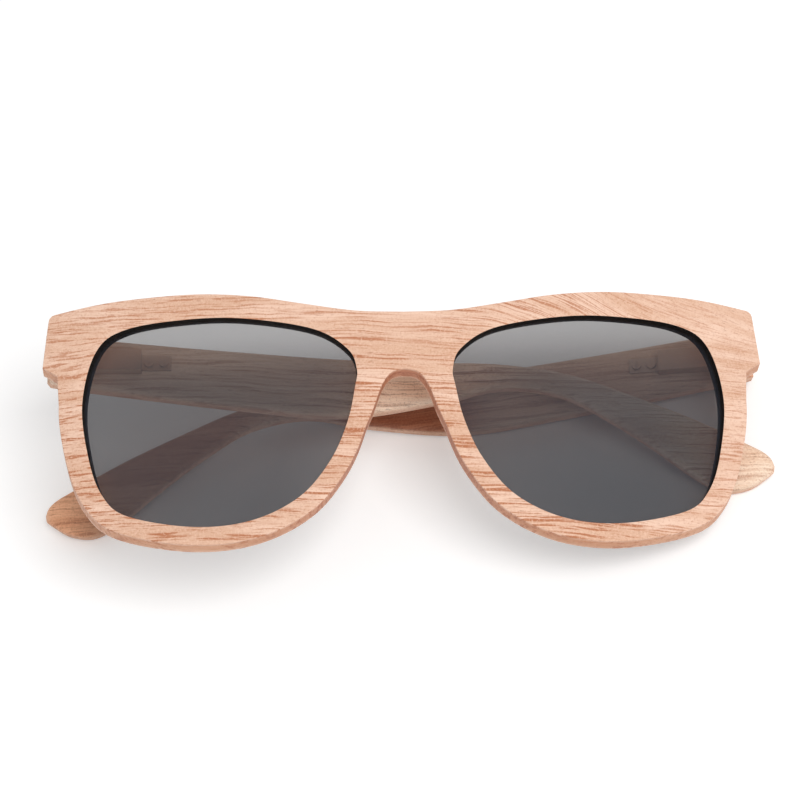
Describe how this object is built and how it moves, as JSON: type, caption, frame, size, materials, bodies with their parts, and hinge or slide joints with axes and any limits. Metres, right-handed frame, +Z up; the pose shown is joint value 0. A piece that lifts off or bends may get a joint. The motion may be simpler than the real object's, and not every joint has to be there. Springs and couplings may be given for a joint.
{
  "type": "wooden sunglasses",
  "caption": "Wooden sunglasses with a bent one-piece front, grooved-in dark lenses and wooden temples that fold on sprung barrel hinges, lying folded on a table.",
  "frame": {"origin": "middle of the outline on the table, at the lowest points of the folded glasses", "axes": "+X along the front to the viewer's right, +Y away from the viewer towards the brow line, +Z up off the table"},
  "size_m": [0.15, 0.0568, 0.041],
  "materials": {
    "front_wood": "fine sanded, satin oil, reddish streaked grain along the front",
    "temple_wood": "fine sanded, satin oil, paler grain along the temple",
    "lens_grey": "tinted grey sheet, polished and see-through",
    "hinge_steel": "satin nickel plate",
    "spring_steel": "drawn spring wire"
  },
  "bodies": {
    "right_temple": {"right_temple": "temple_wood", "right_spring_box": "hinge_steel", "right_box_screws": "hinge_steel", "right_spring": "spring_steel"},
    "right_slider": {"right_slider": "hinge_steel", "right_rod_nut": "hinge_steel"},
    "front": {"front_frame": "front_wood", "left_lens": "lens_grey", "right_lens": "lens_grey", "left_front_leaf": "hinge_steel", "right_front_leaf": "hinge_steel", "left_leaf_screws": "hinge_steel", "right_leaf_screws": "hinge_steel", "left_hinge_pin": "hinge_steel", "right_hinge_pin": "hinge_steel"},
    "left_slider": {"left_slider": "hinge_steel", "left_rod_nut": "hinge_steel"},
    "left_temple": {"left_temple": "temple_wood", "left_spring_box": "hinge_steel", "left_box_screws": "hinge_steel", "left_spring": "spring_steel"}
  },
  "joints": [
    {"name": "right_flex", "type": "slide", "parent": "right_temple", "child": "right_slider", "axis": [0.9991, -0.0425, -0.0003], "range_m": [0, 0.001], "stiffness_N_per_m": 2500, "springref_m": -0.0004, "deforming": ["right_spring"]},
    {"name": "right_fold", "type": "hinge", "parent": "right_slider", "child": "front", "pos_m": [0.06752, 0.0205, 0.0073], "axis": [0.0412, 0.9655, 0.2572], "range_deg": [0, 80.6]},
    {"name": "left_fold", "type": "hinge", "parent": "front", "child": "left_slider", "pos_m": [-0.0642, 0.0205, 0.0284], "axis": [0.0412, 0.9655, 0.2572], "range_deg": [0, 90]},
    {"name": "left_flex", "type": "slide", "parent": "left_slider", "child": "left_temple", "axis": [0.9874, 0, -0.1582], "range_m": [0, 0.001], "stiffness_N_per_m": 2500, "springref_m": -0.0004, "deforming": ["left_spring"]}
  ],
  "couplings": [
    {"joint": "left_fold", "follows": "right_fold", "ratio": 0.24}
  ]
}
